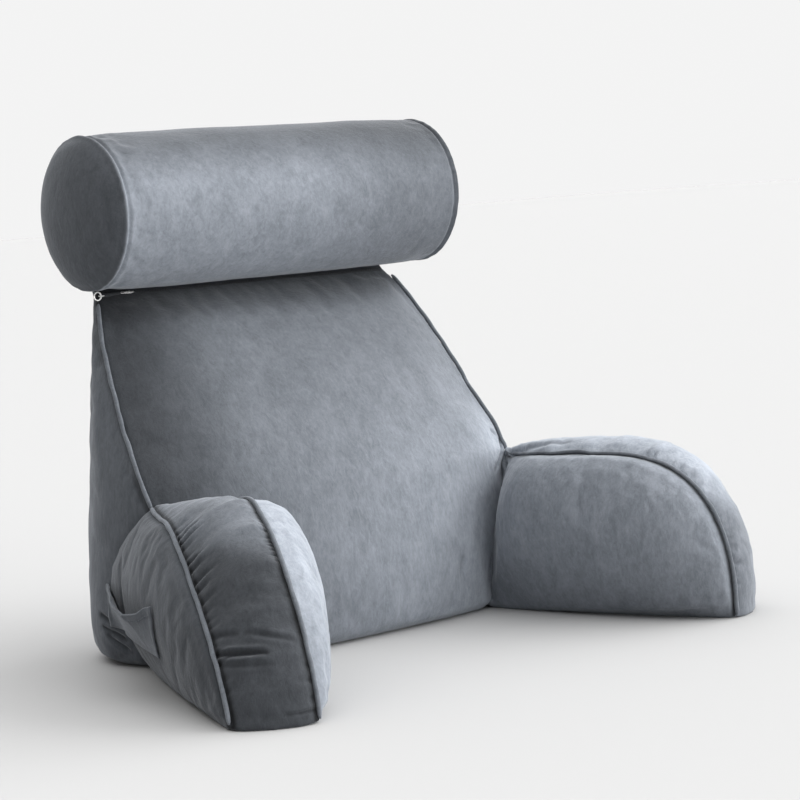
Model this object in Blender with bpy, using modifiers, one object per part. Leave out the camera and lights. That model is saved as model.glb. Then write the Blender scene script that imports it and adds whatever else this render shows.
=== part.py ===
"""Reading pillow with arms and a neck roll, in metres, +Z up, seat facing -Y.

Each filled piece is lofted between its own seams, because the crown of a
stuffed panel changes from seam to seam.  Pipings lie in grooves along them.
"""
import math
from collections import namedtuple

import bpy
import bmesh
import numpy as np
from mathutils import Matrix, Vector
from mathutils.bvhtree import BVHTree

GAP = 0.0003                 # clearance kept between neighbouring pieces
ORIGIN_SHIFT = (0.0042, 0.0267, 0.0)    # puts the box centre over the origin

PIPING_RADIUS = 0.0023
PIPING_LIFT = 0.0010         # how far a piping's centre stands off its seam
PIPING_STEP = 0.010          # length of a piping's straight stretches

# The backrest, one row for each height of its front seam line.
Level = namedtuple("Level", "height half_front half_back front back crown")
BACKREST_LEVELS = (
    Level(0.000, 0.174, 0.230, 0.0120, 0.210, 0.012),
    Level(0.009, 0.182, 0.248, 0.0020, 0.228, 0.020),
    Level(0.032, 0.1915, 0.254, 0.0000, 0.235, 0.027),
    Level(0.085, 0.2085, 0.250, 0.0055, 0.238, 0.030),
    Level(0.168, 0.235, 0.242, 0.0230, 0.234, 0.029),
    Level(0.225, 0.2305, 0.234, 0.0600, 0.223, 0.038),
    Level(0.285, 0.2205, 0.221, 0.0985, 0.211, 0.036),
    Level(0.335, 0.208, 0.204, 0.1305, 0.204, 0.028),
    Level(0.362, 0.198, 0.194, 0.1480, 0.201, 0.016),
    Level(0.3725, 0.192, 0.189, 0.1570, 0.200, 0.000),
)
LEVEL_STEPS = 2              # rings lofted between two rows of the table
FRONT_POINTS = 20            # points across the front panel, as across the back
FRONT_FULLNESS = 3.0         # how flat the front panel stays before its seams
BACK_SQUARENESS = 3.5        # superellipse power of the back's corners
BACK_TOP_RISE = 0.012        # the back is this much higher at the top seam
SADDLE_ROWS = (0.168, 0.176, 0.184, 0.190)    # y of the rows under the roll
RIDGE_BACK = 0.197           # y where the top ridge turns down to the back

# The neck roll, a turned shape along X.
ROLL_CENTRE = Vector((0.004, 0.135, 0.4615))
ROLL_RADIUS = 0.0820
ROLL_RIM_RADIUS = 0.0795
ROLL_HALF_LENGTH = 0.215
ROLL_CAP_CROWN = 0.027
ROLL_WELT = 0.0016           # height of the sewn ridge round each end
ROLL_SIDES = 32

# The arms.  Plan points are for the +X side; a = forward, o = outward.
INNER_HEEL = Vector((0.184, 0.0, 0.0))       # foot of the seam on the front panel
OUTER_HEEL = Vector((0.204, 0.098, 0.0))     # foot of the valley on the side
INNER_START = Vector((0.231, 0.016, 0.163))  # top of the seam on the front panel
OUTER_START = Vector((0.2355, 0.0235, 0.1675))
Arm = namedtuple("Arm", "side inner_toe outer_toe inner_height outer_height "
                        "inner_power outer_power climb")
ARMS = {                     # climb: the length over which the inner seam rises to its height
    "left": Arm(-1, (0.279, -0.2885), (0.3456, -0.247), 0.185, 0.164, 1.55, 1.4, 0.160),
    "right": Arm(1, (0.269, -0.279), (0.335, -0.236), 0.170, 0.172, 2.7, 2.8, 0.075),
}
SEAM_JOIN = 0.075            # length over which the inner seam swings into line with its arm
OUTER_JOIN = 0.050
INNER_STRAIGHT = 0.14        # level stretch of the inner seam before it turns down
OUTER_STRAIGHT = 0.10
OUTER_BOW = 0.005            # sideways bow of the outer seam
INNER_CROWN = 0.066
OUTER_CROWN = 0.032
GUSSET_CROWN = 0.017
GATHER_HEIGHT = 0.008        # unevenness where the gusset is gathered to its seams
INNER_HEEL_POWER = 1.7       # how soon a panel swells out of its heel
OUTER_HEEL_POWER = 4.0
INNER_FLOOR_CROWN = 0.08     # share of a panel's crown that is left at the floor
OUTER_FLOOR_CROWN = 0.10
VALLEY_BACK = 0.045          # the outer panel's back edge bows this far back round the backrest
VALLEY_OUT = 0.022           # and this far out
ARM_RINGS = 28
Crease = namedtuple("Crease", "turn depth width")
GUSSET_CREASES = (           # soft troughs across the gusset, turn 0 at the back
    Crease(0.36, 0.0016, 0.030), Crease(0.47, 0.0012, 0.025), Crease(0.71, 0.0034, 0.026),
    Crease(0.80, 0.0026, 0.022), Crease(0.90, 0.0014, 0.022),
)
PANEL_POINTS = 9             # points from a heel up to a seam
GUSSET_POINTS = 8
HEEL_PUSH = 0.030            # the arm's back runs this far in before it is cut

# The pocket on the left arm, in that arm's own a (forward) and z.
POCKET_A = (-0.077, 0.131)
POCKET_FOOT_Z = 0.044
POCKET_MOUTH_Z = (0.087, 0.093)         # at the back and at the front of its mouth
POCKET_MOUTH_DIP = 0.008     # the mouth hangs this much lower near its front
POCKET_THICKNESS = 0.0020
POCKET_GAPE = 0.016          # how far the mouth stands off the arm
POCKET_COLUMNS = 16
POCKET_ROWS = 7
POCKET_BITE = 0.0015         # depth cut away to seat the pocket on the cloth

# The zip along the top seam, under the roll, and its pull at the left corner.
ZIP_HALF_LENGTH = 0.186
ZIP_SECTION = (0.0055, 0.0014)          # width and thickness of a bar
ZIP_SEAT = 0.22              # how far up the slope under the roll the zip lies
SLIDER_SECTION = (0.0030, 0.0012)
SLIDER_ENDS = (-0.1640, -0.1470)
PULL_SECTION = (0.0034, 0.0010)
RING_CENTRE = Vector((-0.1975, 0.1490, 0.3762))
RING_RADIUS = 0.0042
RING_WIRE = 0.00085
BAIL_RADIUS = 0.0026
BAIL_WIRE = 0.0007

COLOURS = {
    "plush": ((0.205, 0.230, 0.255, 1.0), 0.85, 0.0),
    "piping": ((0.190, 0.213, 0.236, 1.0), 0.85, 0.0),
    "zip_tape": ((0.045, 0.048, 0.055, 1.0), 0.80, 0.0),
    "zip_metal": ((0.62, 0.62, 0.60, 1.0), 0.30, 1.0),
}


def clear_scene():
    for item in list(bpy.data.objects):
        bpy.data.objects.remove(item, do_unlink=True)


def new_collection(name):
    collection = bpy.data.collections.new(name)
    bpy.context.scene.collection.children.link(collection)
    return collection


def material(name):
    found = bpy.data.materials.get(name)
    if found:
        return found
    colour, roughness, metallic = COLOURS[name]
    made = bpy.data.materials.new(name)
    made.use_nodes = True
    shader = made.node_tree.nodes["Principled BSDF"]
    shader.inputs["Base Color"].default_value = colour
    shader.inputs["Roughness"].default_value = roughness
    shader.inputs["Metallic"].default_value = metallic
    return made


def add_object(name, mesh, finish, collection):
    made = bpy.data.objects.new(name, mesh)
    if not mesh.materials:
        mesh.materials.append(material(finish))
    collection.objects.link(made)
    return made


def mesh_from(name, bm):
    bmesh.ops.recalc_face_normals(bm, faces=bm.faces)
    mesh = bpy.data.meshes.new(name)
    bm.to_mesh(mesh)
    bm.free()
    mesh.shade_smooth()
    mesh.set_sharp_from_angle(angle=math.radians(50))
    return mesh


def loft(name, rings):
    """A closed skin over rings of equal length, capped across by pairs of points."""
    bm = bmesh.new()
    rows = [[bm.verts.new(point) for point in ring] for ring in rings]
    count = len(rows[0])
    for low, high in zip(rows, rows[1:]):
        for i in range(count):
            j = (i + 1) % count
            bm.faces.new((low[i], low[j], high[j], high[i]))
    for row in (rows[0], rows[-1]):
        for i in range(count // 2 - 1):
            bm.faces.new((row[i], row[i + 1], row[count - 2 - i], row[count - 1 - i]))
    bmesh.ops.remove_doubles(bm, verts=bm.verts, dist=1e-5)
    bmesh.ops.triangulate(bm, faces=bm.faces)
    return mesh_from(name, bm)


def tube_mesh(name, points, radius):
    """A round tube along the points, as a welded mesh."""
    curve = bpy.data.curves.new(name, "CURVE")
    curve.dimensions = "3D"
    curve.bevel_depth = radius
    curve.bevel_resolution = 2
    curve.use_fill_caps = True
    spline = curve.splines.new("POLY")
    spline.points.add(len(points) - 1)
    for knot, point in zip(spline.points, points):
        knot.co = (*point, 1.0)
    holder = bpy.data.objects.new(name, curve)
    bpy.context.scene.collection.objects.link(holder)
    evaluated = holder.evaluated_get(bpy.context.evaluated_depsgraph_get())
    mesh = bpy.data.meshes.new_from_object(evaluated)
    bpy.data.objects.remove(holder)
    bm = bmesh.new()
    bm.from_mesh(mesh)
    bmesh.ops.remove_doubles(bm, verts=bm.verts, dist=1e-5)
    return mesh_from(name, bm)


def inflated(source, distance):
    """A copy of a mesh with each point moved out along its normal."""
    copy = source.data.copy()
    normals = [Vector(vertex.normal) for vertex in copy.vertices]
    for vertex, normal in zip(copy.vertices, normals):
        vertex.co += normal * distance
    return copy


def cut(target, cutter_mesh, cutters):
    cutter = bpy.data.objects.new(cutter_mesh.name, cutter_mesh)
    cutters.objects.link(cutter)
    cutter.hide_render = True
    cutter.display_type = "WIRE"
    boolean = target.modifiers.new("cut_" + cutter_mesh.name, "BOOLEAN")
    boolean.operation = "DIFFERENCE"
    boolean.solver = "EXACT"
    boolean.object = cutter


def catmull(values, position):
    """Value of a smooth track through the rows at a fractional row number."""
    last = len(values) - 1
    i = min(int(position), last - 1)
    f = position - i
    before = values[max(i - 1, 0)]
    after = values[min(i + 2, last)]
    here, there = values[i], values[i + 1]
    return 0.5 * (2 * here + (there - before) * f
                  + (2 * before - 5 * here + 4 * there - after) * f * f
                  + (3 * here - before - 3 * there + after) * f ** 3)


def smooth_step(x):
    x = min(max(x, 0.0), 1.0)
    return x * x * (3 - 2 * x)


# ---- neck roll

def roll_radius(x):
    """The roll is a little fuller at its middle than at its rims."""
    share = min(abs(x - ROLL_CENTRE.x) / ROLL_HALF_LENGTH, 1.0)
    return ROLL_RIM_RADIUS + (ROLL_RADIUS - ROLL_RIM_RADIUS) * (1 - share ** 4)


def roll_profile():
    """(x, radius) from the left pole to the right pole."""
    half = []
    for k in range(7):
        angle = math.pi / 2 * k / 6
        half.append((ROLL_HALF_LENGTH + ROLL_CAP_CROWN * math.cos(angle),
                     ROLL_RIM_RADIUS * math.sin(angle)))
    half[0] = (half[0][0], 0.0)
    half[-1] = (ROLL_HALF_LENGTH + ROLL_WELT, ROLL_RIM_RADIUS - ROLL_WELT)
    half.append((ROLL_HALF_LENGTH, ROLL_RIM_RADIUS + ROLL_WELT))
    half.append((ROLL_HALF_LENGTH - 2 * ROLL_WELT, ROLL_RIM_RADIUS))
    for share in (0.85, 0.6, 0.3):
        x = ROLL_HALF_LENGTH * share
        half.append((x, roll_radius(ROLL_CENTRE.x + x)))
    middle = [(0.0, ROLL_RADIUS)]
    return half + middle + [(-x, r) for x, r in reversed(half)]


def make_roll(parts):
    """A turned shape: the profile stands in XZ and is screwed about X."""
    bm = bmesh.new()
    points = [bm.verts.new((x, 0.0, r)) for x, r in roll_profile()]
    for a, b in zip(points, points[1:]):
        bm.edges.new((a, b))
    mesh = bpy.data.meshes.new("neck_roll")
    bm.to_mesh(mesh)
    bm.free()
    roll = add_object("neck_roll", mesh, "plush", parts)
    roll.location = ROLL_CENTRE
    screw = roll.modifiers.new("turn", "SCREW")
    screw.axis = "X"
    screw.steps = screw.render_steps = ROLL_SIDES
    screw.use_merge_vertices = True
    screw.merge_threshold = 0.00005
    screw.use_normal_calculate = True
    screw.use_smooth_shade = True
    return roll


def saddle_height(x, y):
    """Height of the roll's underside, less the clearance."""
    reach = roll_radius(x) + GAP
    return ROLL_CENTRE.z - math.sqrt(reach ** 2 - (y - ROLL_CENTRE.y) ** 2)


# ---- backrest

def backrest_ring(level, front_z=None, back_z=None, saddle=False):
    """One ring: the crowned front from -X to +X, then round the back."""
    base = level.height if front_z is None else front_z
    rise = 0.0 if back_z is None else back_z - base
    ring = []
    for i in range(FRONT_POINTS):
        u = math.sin(math.pi / 2 * (2 * i / (FRONT_POINTS - 1) - 1))
        x = level.half_front * u
        y = level.front - level.crown * (1 - abs(u) ** FRONT_FULLNESS)
        z = saddle_height(x, y) if saddle else base
        ring.append(Vector((x, y, z)))
    depth = level.back - level.front
    for i in range(1, FRONT_POINTS + 1):
        angle = math.pi * i / (FRONT_POINTS + 1)
        side = abs(math.cos(angle)) ** (2 / BACK_SQUARENESS)
        inward = math.sin(angle) ** (2 / BACK_SQUARENESS)
        spread = math.sin(math.pi / 2 * min(1.0, inward / 0.6))
        half = level.half_front + (level.half_back - level.half_front) * spread
        x = math.copysign(side * half, math.cos(angle))
        ring.append(Vector((x, level.front + depth * inward, base + rise * inward)))
    return ring


def backrest_levels():
    columns = list(zip(*BACKREST_LEVELS))
    steps = (len(BACKREST_LEVELS) - 1) * LEVEL_STEPS
    for k in range(steps + 1):
        yield Level(*(catmull(column, k / LEVEL_STEPS) for column in columns))


def make_backrest(parts):
    top = BACKREST_LEVELS[-1]
    rings = []
    for level in backrest_levels():
        lift = smooth_step((level.height - 0.30) / (top.height - 0.30))
        rings.append(backrest_ring(level, back_z=level.height + BACK_TOP_RISE * lift))
    back_z = top.height + BACK_TOP_RISE
    ridge_z = saddle_height(0.0, SADDLE_ROWS[-1])
    for k, y in enumerate(SADDLE_ROWS):
        share = (k + 1) / len(SADDLE_ROWS)
        level = top._replace(front=y, back=top.back + (RIDGE_BACK - top.back) * share, crown=0.0,
                             half_front=top.half_front - 0.003 * share,
                             half_back=top.half_back - 0.003 * share)
        rings.append(backrest_ring(level, front_z=saddle_height(top.half_front, y),
                                   back_z=back_z + (ridge_z - back_z) * share, saddle=True))
    return add_object("backrest", loft("backrest", rings), "plush", parts)


def front_seam_line():
    """The seam from a top corner of the front panel down to the arm, +X side."""
    levels = [level for level in backrest_levels() if level.height >= OUTER_START.z]
    return [Vector((level.half_front, level.front, level.height)) for level in reversed(levels)]


# ---- arms

def arm_axes(arm):
    """Forward and outward directions of an arm in plan, for the +X side."""
    forward = Vector((*arm.inner_toe, 0.0)) - INNER_HEEL
    forward.normalize()
    return forward, Vector((-forward.y, forward.x, 0.0))


def drop(distance, length, height, straight, power):
    """Height of a D-shaped seam: level, then a superellipse down to the floor."""
    if distance <= straight:
        return height
    share = min((distance - straight) / (length - straight), 1.0)
    return height * (1 - share ** power) ** (1 / power)


def d_seam(start, heel, toe, height, straight, power, bow, join, climb):
    """Evenly spaced points along an arm's D-shaped seam, from the backrest to its toe."""
    along = toe - heel
    length = along.length
    along = along / length
    sideways = Vector((-along.y, along.x, 0.0))
    offset = start - heel
    lean = offset.dot(sideways)
    dense = []
    for k in range(401):
        angle = math.pi / 2 * max(0.0, (k - 120) / 280)
        if k < 120:
            distance = straight * k / 120
        else:
            distance = straight + (length - straight) * math.sin(angle) ** (2 / power)
        z = drop(distance, length, height, straight, power) if k < 400 else 0.0
        side = lean * (1 - smooth_step(distance / join)) + bow * math.sin(math.pi * distance / length)
        z = z + (start.z - height) * (1 - smooth_step(distance / climb))
        dense.append(heel + along * distance + sideways * side + Vector((0, 0, z)))
    dense[0] = start.copy()
    return resample(dense, ARM_RINGS)


def resample(points, count):
    points = np.array([tuple(p) for p in points])
    steps = np.linalg.norm(np.diff(points, axis=0), axis=1)
    run = np.concatenate(([0.0], np.cumsum(steps)))
    wanted = np.linspace(0.0, run[-1], count)
    return [Vector([float(np.interp(w, run, points[:, axis])) for axis in range(3)]) for w in wanted]


def arm_seams(arm):
    inner = d_seam(INNER_START, INNER_HEEL, Vector((*arm.inner_toe, 0.0)), arm.inner_height,
                   INNER_STRAIGHT, arm.inner_power, 0.0, SEAM_JOIN, arm.climb)
    base = Vector((OUTER_START.x, OUTER_START.y, 0.0))
    outer = d_seam(OUTER_START, base, Vector((*arm.outer_toe, 0.0)), arm.outer_height,
                   OUTER_STRAIGHT, arm.outer_power, OUTER_BOW, OUTER_JOIN, OUTER_JOIN)
    return inner, outer


def panel_crown(share, turn, floor_crown, heel_power):
    """Fullness of an arm's side panel, from 0 at its seams to 1 inside."""
    rim = (1 - share ** 5) ** 0.45
    heel = 1 - (1 - share) ** heel_power
    swell = math.sin(math.pi * turn) ** 0.38
    if turn > 0.5:
        swell = floor_crown + (1 - floor_crown) * swell
    return rim * heel * swell


def spoke(k, seam, heel, direction, crown, floor_crown, heel_power, valley=Vector()):
    """Points from a heel along spoke k of a side panel, short of its seam."""
    first, here, floor = (seam[i] - heel for i in (0, k, -1))
    turn = min(max(1 - here.angle(floor) / first.angle(floor), 0.0), 1.0)
    points = []
    for j in range(PANEL_POINTS):
        share = math.sin(math.pi / 2 * j / PANEL_POINTS)
        push = crown * panel_crown(share, turn, floor_crown, heel_power)
        bow = valley * math.sin(math.pi * share) * (1 - turn) ** 3
        points.append(heel.lerp(seam[k], share) + direction * push + bow)
    return points


def seam_normal(k, seam, forward, outward):
    """Direction square to a D-shaped seam, pointing up at its back and forward at its toe."""
    ahead = seam[min(k + 1, len(seam) - 1)] - seam[max(k - 1, 0)]
    normal = outward.cross(ahead).normalized()
    return normal if normal.dot(forward) + normal.z > 0 else -normal


def gusset_height(k, share):
    """Crown of the gusset at ring k, with its creases and gathers."""
    turn = k / (ARM_RINGS - 1)
    u = 2 * share - 1
    rise = 0.35 + 0.40 * (1 - (1 - min(turn * 4.0, 1.0)) ** 2) + 0.25 * smooth_step((turn - 0.2) / 0.3)
    height = GUSSET_CROWN * rise * (1 - 0.3 * turn ** 12) * (1 - u * u) ** 0.7
    for crease in GUSSET_CREASES:
        height -= crease.depth * math.exp(-((turn - crease.turn) / crease.width) ** 2) * (1 - u ** 4)
    gather = math.sin(2.35 * k) * (1 - u * u) * u * u
    return height + GATHER_HEIGHT * gather * math.sin(math.pi * turn)


def arm_ring(k, inner, outer, forward, outward):
    """Up the inner panel, over the gusset, and down the outer panel."""
    ring = spoke(k, inner, INNER_HEEL, -outward, INNER_CROWN, INNER_FLOOR_CROWN, INNER_HEEL_POWER)
    middle = [(a + b) / 2 for a, b in zip(inner, outer)]
    normal = seam_normal(k, middle, forward, outward)
    if k == ARM_RINGS - 1:
        normal = Vector((normal.x, normal.y, 0.0)).normalized()
    for j in range(GUSSET_POINTS):
        share = j / (GUSSET_POINTS - 1)
        ring.append(inner[k].lerp(outer[k], share) + normal * gusset_height(k, share))
    valley = outward * VALLEY_OUT - forward * VALLEY_BACK
    outside = spoke(k, outer, OUTER_HEEL, outward, OUTER_CROWN, OUTER_FLOOR_CROWN, OUTER_HEEL_POWER,
                    valley)
    return ring + outside[::-1]


def make_arm(name, arm, parts):
    forward, outward = arm_axes(arm)
    inner, outer = arm_seams(arm)
    rings = [arm_ring(k, inner, outer, forward, outward) for k in range(ARM_RINGS)]
    inward = (OUTER_HEEL - INNER_HEEL).cross(INNER_START - INNER_HEEL).normalized()
    if inward.x > 0:
        inward = -inward
    rings.insert(0, [point + inward * HEEL_PUSH for point in rings[0]])
    mirrored = [[Vector((p.x * arm.side, p.y, p.z)) for p in ring] for ring in rings]
    return add_object(name, loft(name, mirrored), "plush", parts)


# ---- pipings

def trimmed(points, head, tail):
    """The same line, shortened by a length at each end."""
    line = resample(points, 120)
    run = [0.0]
    for a, b in zip(line, line[1:]):
        run.append(run[-1] + (b - a).length)
    kept = [p for p, r in zip(line, run) if head <= r <= run[-1] - tail]
    return resample(kept, max(8, round((kept[-1] - kept[0]).length / PIPING_STEP)))


def piping_lines():
    """Centre line of each piping by name, lifted a little off its seam."""
    lines = {}
    corner = Vector((0.80, -0.50, 0.33)) * PIPING_LIFT
    for side, arm in ARMS.items():
        forward, outward = arm_axes(arm)
        seam = [point + corner for point in front_seam_line()]
        lines["side_piping_" + side] = trimmed(seam, 0.004, 0.007)
        inner, outer = arm_seams(arm)
        for name, seam, sideways in (("inner", inner, -outward), ("outer", outer, outward)):
            lifted = []
            for k, point in enumerate(seam):
                normal = seam_normal(k, seam, forward, outward)
                lifted.append(point + (normal + sideways * 0.7).normalized() * PIPING_LIFT)
            lines[name + "_piping_" + side] = trimmed(lifted, 0.006, PIPING_RADIUS + 0.001)
    for name, line in lines.items():
        flip = -1 if name.endswith("left") else 1
        lines[name] = [Vector((p.x * flip, p.y, p.z)) for p in line]
    return lines


def make_pipings(parts, cutters, hosts):
    """Each piping, and the groove that it lies in."""
    for name, line in piping_lines().items():
        add_object(name, tube_mesh(name, line, PIPING_RADIUS), "piping", parts)
        side = name.rsplit("_", 1)[1]
        for host in ("backrest", "arm_" + side):
            groove = tube_mesh("groove_" + name, line, PIPING_RADIUS + GAP)
            cut(hosts[host], groove, cutters)


# ---- pocket

def make_pocket(parts, cutters, hosts):
    """A patch pocket that follows the cloth, its mouth standing open at the top."""
    arm = ARMS["left"]
    forward, outward = arm_axes(arm)
    mirror = Matrix.Scale(-1, 3, (1, 0, 0))
    forward, outward, heel = mirror @ forward, mirror @ outward, mirror @ INNER_HEEL
    depsgraph = bpy.context.evaluated_depsgraph_get()
    trees = [BVHTree.FromObject(hosts[name], depsgraph) for name in ("arm_left", "backrest")]
    rings = []
    for j in range(POCKET_ROWS):
        v = j / (POCKET_ROWS - 1)
        inside, outside = [], []
        for i in range(POCKET_COLUMNS):
            u = i / (POCKET_COLUMNS - 1)
            a = POCKET_A[0] + (POCKET_A[1] - POCKET_A[0]) * u
            mouth = POCKET_MOUTH_Z[0] + (POCKET_MOUTH_Z[1] - POCKET_MOUTH_Z[0]) * u
            mouth -= POCKET_MOUTH_DIP * math.sin(math.pi * u ** 3)
            z = POCKET_FOOT_Z + (mouth - POCKET_FOOT_Z) * v
            start = heel + forward * a + outward * 0.3 + Vector((0, 0, z))
            hits = [tree.ray_cast(start, -outward)[0] for tree in trees]
            surface = max((hit for hit in hits if hit), key=lambda hit: hit.dot(outward))
            gape = POCKET_GAPE * math.sin(math.pi * u ** 1.4) * v ** 1.6
            inside.append(surface + outward * (gape - POCKET_BITE))
            outside.append(surface + outward * (gape + POCKET_THICKNESS))
        rings.append(inside + outside[::-1])
    pocket = add_object("pocket", loft("pocket", rings), "plush", parts)
    for name in ("arm_left", "backrest"):
        evaluated = hosts[name].evaluated_get(depsgraph)
        body = bpy.data.objects.new("body_" + name, bpy.data.meshes.new_from_object(evaluated))
        cut(pocket, inflated(body, GAP), cutters)
        bpy.data.objects.remove(body)
    return pocket


# ---- zip

def add_bar(name, start, end, normal, section, finish, parts):
    """A flat bar between two points, its face along the normal."""
    width, thickness = section
    along = (end - start).normalized()
    across = normal.cross(along).normalized()
    turn = Matrix((along, across, along.cross(across))).transposed()
    bm = bmesh.new()
    size = ((end - start).length, width, thickness, 1.0)
    bmesh.ops.create_cube(bm, size=1.0, matrix=Matrix.Diagonal(size))
    bar = add_object(name, mesh_from(name, bm), finish, parts)
    bar.location = (start + end) / 2
    bar.rotation_euler = turn.to_euler()
    return bar


def add_ring(name, radius, wire, centre, rotation, parts):
    """A wire ring: a small circle screwed about Z."""
    bm = bmesh.new()
    turned = Matrix.Translation((radius, 0.0, 0.0)) @ Matrix.Rotation(math.pi / 2, 4, "X")
    bmesh.ops.create_circle(bm, segments=8, radius=wire, matrix=turned)
    mesh = bpy.data.meshes.new(name)
    bm.to_mesh(mesh)
    bm.free()
    ring = add_object(name, mesh, "zip_metal", parts)
    screw = ring.modifiers.new("turn", "SCREW")
    screw.steps = screw.render_steps = 20
    screw.use_merge_vertices = True
    screw.merge_threshold = 0.00005
    screw.use_normal_calculate = True
    ring.location = centre
    ring.rotation_euler = rotation
    return ring


def make_zip(parts):
    """The chain on the slope behind the top seam, and its slider, pull, bail and ring."""
    seam = BACKREST_LEVELS[-1]
    low = Vector((0.0, seam.front, seam.height))
    high = Vector((0.0, SADDLE_ROWS[0], saddle_height(ZIP_HALF_LENGTH, SADDLE_ROWS[0])))
    slope = (high - low).normalized()
    normal = Vector((0.0, -slope.z, slope.y))
    half = Vector((ZIP_HALF_LENGTH, 0.0, 0.0))
    chain = low.lerp(high, ZIP_SEAT) + normal * (GAP + ZIP_SECTION[1] / 2)
    add_bar("zip_chain", chain - half, chain + half, normal, ZIP_SECTION, "zip_tape", parts)
    lift = normal * (GAP + ZIP_SECTION[1] / 2 + SLIDER_SECTION[1] / 2)
    slider = [chain + lift + Vector((x, 0.0, 0.0)) for x in SLIDER_ENDS]
    add_bar("zip_slider", *slider, normal, SLIDER_SECTION, "zip_metal", parts)
    inset = BAIL_RADIUS - RING_WIRE - BAIL_WIRE - GAP
    bail = RING_CENTRE + Vector((RING_RADIUS + inset, 0.0, 0.0))
    pull_end = bail + Vector((BAIL_RADIUS + BAIL_WIRE + 2 * GAP, 0.0, 0.0))
    pull_start = slider[0] - Vector((PULL_SECTION[0] / 4 + GAP, 0.0, 0.0))
    add_bar("zip_pull", pull_end, pull_start, normal, PULL_SECTION, "zip_tape", parts)
    add_ring("zip_bail", BAIL_RADIUS, BAIL_WIRE, bail, (0.0, 0.0, 0.0), parts)
    add_ring("zip_ring", RING_RADIUS, RING_WIRE, RING_CENTRE, (math.pi / 2, 0.0, 0.0), parts)


def build():
    clear_scene()
    parts = new_collection("reading_pillow")
    cutters = new_collection("cutters")
    hosts = {"backrest": make_backrest(parts)}
    make_roll(parts)
    for side, arm in ARMS.items():
        made = make_arm("arm_" + side, arm, parts)
        cut(made, inflated(hosts["backrest"], GAP), cutters)
        hosts["arm_" + side] = made
    make_pipings(parts, cutters, hosts)
    make_pocket(parts, cutters, hosts)
    make_zip(parts)
    origin = bpy.data.objects.new("reading_pillow_origin", None)
    origin.location = ORIGIN_SHIFT
    parts.objects.link(origin)
    for collection in (parts, cutters):
        for item in collection.objects:
            if item is not origin:
                item.parent = origin


build()
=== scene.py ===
import math

import bmesh
import bpy
import numpy as np
from mathutils import Matrix, Vector, noise
from mathutils.bvhtree import BVHTree


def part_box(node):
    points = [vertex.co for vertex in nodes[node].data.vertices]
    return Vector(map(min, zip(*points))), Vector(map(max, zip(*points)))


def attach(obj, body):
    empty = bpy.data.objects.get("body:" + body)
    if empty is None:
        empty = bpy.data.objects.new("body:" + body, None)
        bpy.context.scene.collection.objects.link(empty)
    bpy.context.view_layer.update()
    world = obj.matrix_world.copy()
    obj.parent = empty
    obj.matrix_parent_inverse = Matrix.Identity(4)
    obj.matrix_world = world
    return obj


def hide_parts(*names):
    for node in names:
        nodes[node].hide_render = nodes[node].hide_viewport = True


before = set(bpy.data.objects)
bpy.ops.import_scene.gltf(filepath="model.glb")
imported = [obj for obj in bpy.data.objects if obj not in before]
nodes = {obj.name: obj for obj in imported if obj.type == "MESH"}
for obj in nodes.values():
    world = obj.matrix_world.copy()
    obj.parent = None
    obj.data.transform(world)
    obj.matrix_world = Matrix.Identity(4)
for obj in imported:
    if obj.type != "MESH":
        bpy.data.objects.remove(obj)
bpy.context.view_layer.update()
scene = bpy.context.scene


# small helpers for meshes and shader nodes

def newPiece(name, data):
    piece = bpy.data.objects.new(name, data)
    scene.collection.objects.link(piece)
    return piece


def pieceFrom(name, bm, outward=False):
    # a new piece with the faces of bm, turned outward if that is asked for
    if outward:
        bmesh.ops.recalc_face_normals(bm, faces=bm.faces)
    mesh = bpy.data.meshes.new(name)
    bm.to_mesh(mesh)
    bm.free()
    return newPiece(name, mesh)


def dressed(piece, nodeName, slotName, *finishes, smooth=True):
    # the piece's materials and smooth shading, under the root, with the CAD part that it stands for
    # hidden
    for finish in finishes:
        piece.data.materials.append(finish)
    if smooth:
        piece.data.shade_smooth()
    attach(piece, "root")
    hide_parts(nodeName)
    return piece


def feed(tree, node, inputs):
    # links every socket that is given, and sets every number or colour
    for name, value in inputs.items():
        if isinstance(value, bpy.types.NodeSocket):
            tree.links.new(value, node.inputs[name])
        else:
            node.inputs[name].default_value = value


def noiseNode(tree, coordinates, scale, detail, rough, twist, stretch):
    mapping = tree.nodes.new("ShaderNodeMapping")
    feed(tree, mapping, {"Vector": coordinates, "Scale": stretch})
    made = tree.nodes.new("ShaderNodeTexNoise")
    feed(tree, made, {"Vector": mapping.outputs["Vector"], "Scale": scale, "Detail": detail,
                      "Roughness": rough, "Distortion": twist})
    return made.outputs["Fac"]


def mathNode(tree, kind, a, b):
    made = tree.nodes.new("ShaderNodeMath")
    made.operation = kind
    feed(tree, made, {0: a, 1: b})
    return made.outputs[0]


def rangeNode(tree, value, low, high, toLow, toHigh):
    made = tree.nodes.new("ShaderNodeMapRange")
    feed(tree, made, {"Value": value, "From Min": low, "From Max": high,
                      "To Min": toLow, "To Max": toHigh})
    return made.outputs["Result"]


def mixNode(tree, share, colourA, colourB):
    made = tree.nodes.new("ShaderNodeMix")
    made.data_type = "RGBA"
    feed(tree, made, {"Factor": share, "A": colourA, "B": colourB})
    return made.outputs["Result"]


def newMaterial(name):
    material = bpy.data.materials.new(name)
    material.use_nodes = True
    tree = material.node_tree
    coordinates = tree.nodes.new("ShaderNodeTexCoord").outputs["Object"]
    return material, tree, tree.nodes["Principled BSDF"], coordinates


def addBump(tree, shader, height, strength, distance):
    lift = tree.nodes.new("ShaderNodeBump")
    feed(tree, lift, {"Strength": strength, "Distance": distance, "Height": height})
    feed(tree, shader, {"Normal": lift.outputs["Normal"]})


# camera, floor and light

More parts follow.
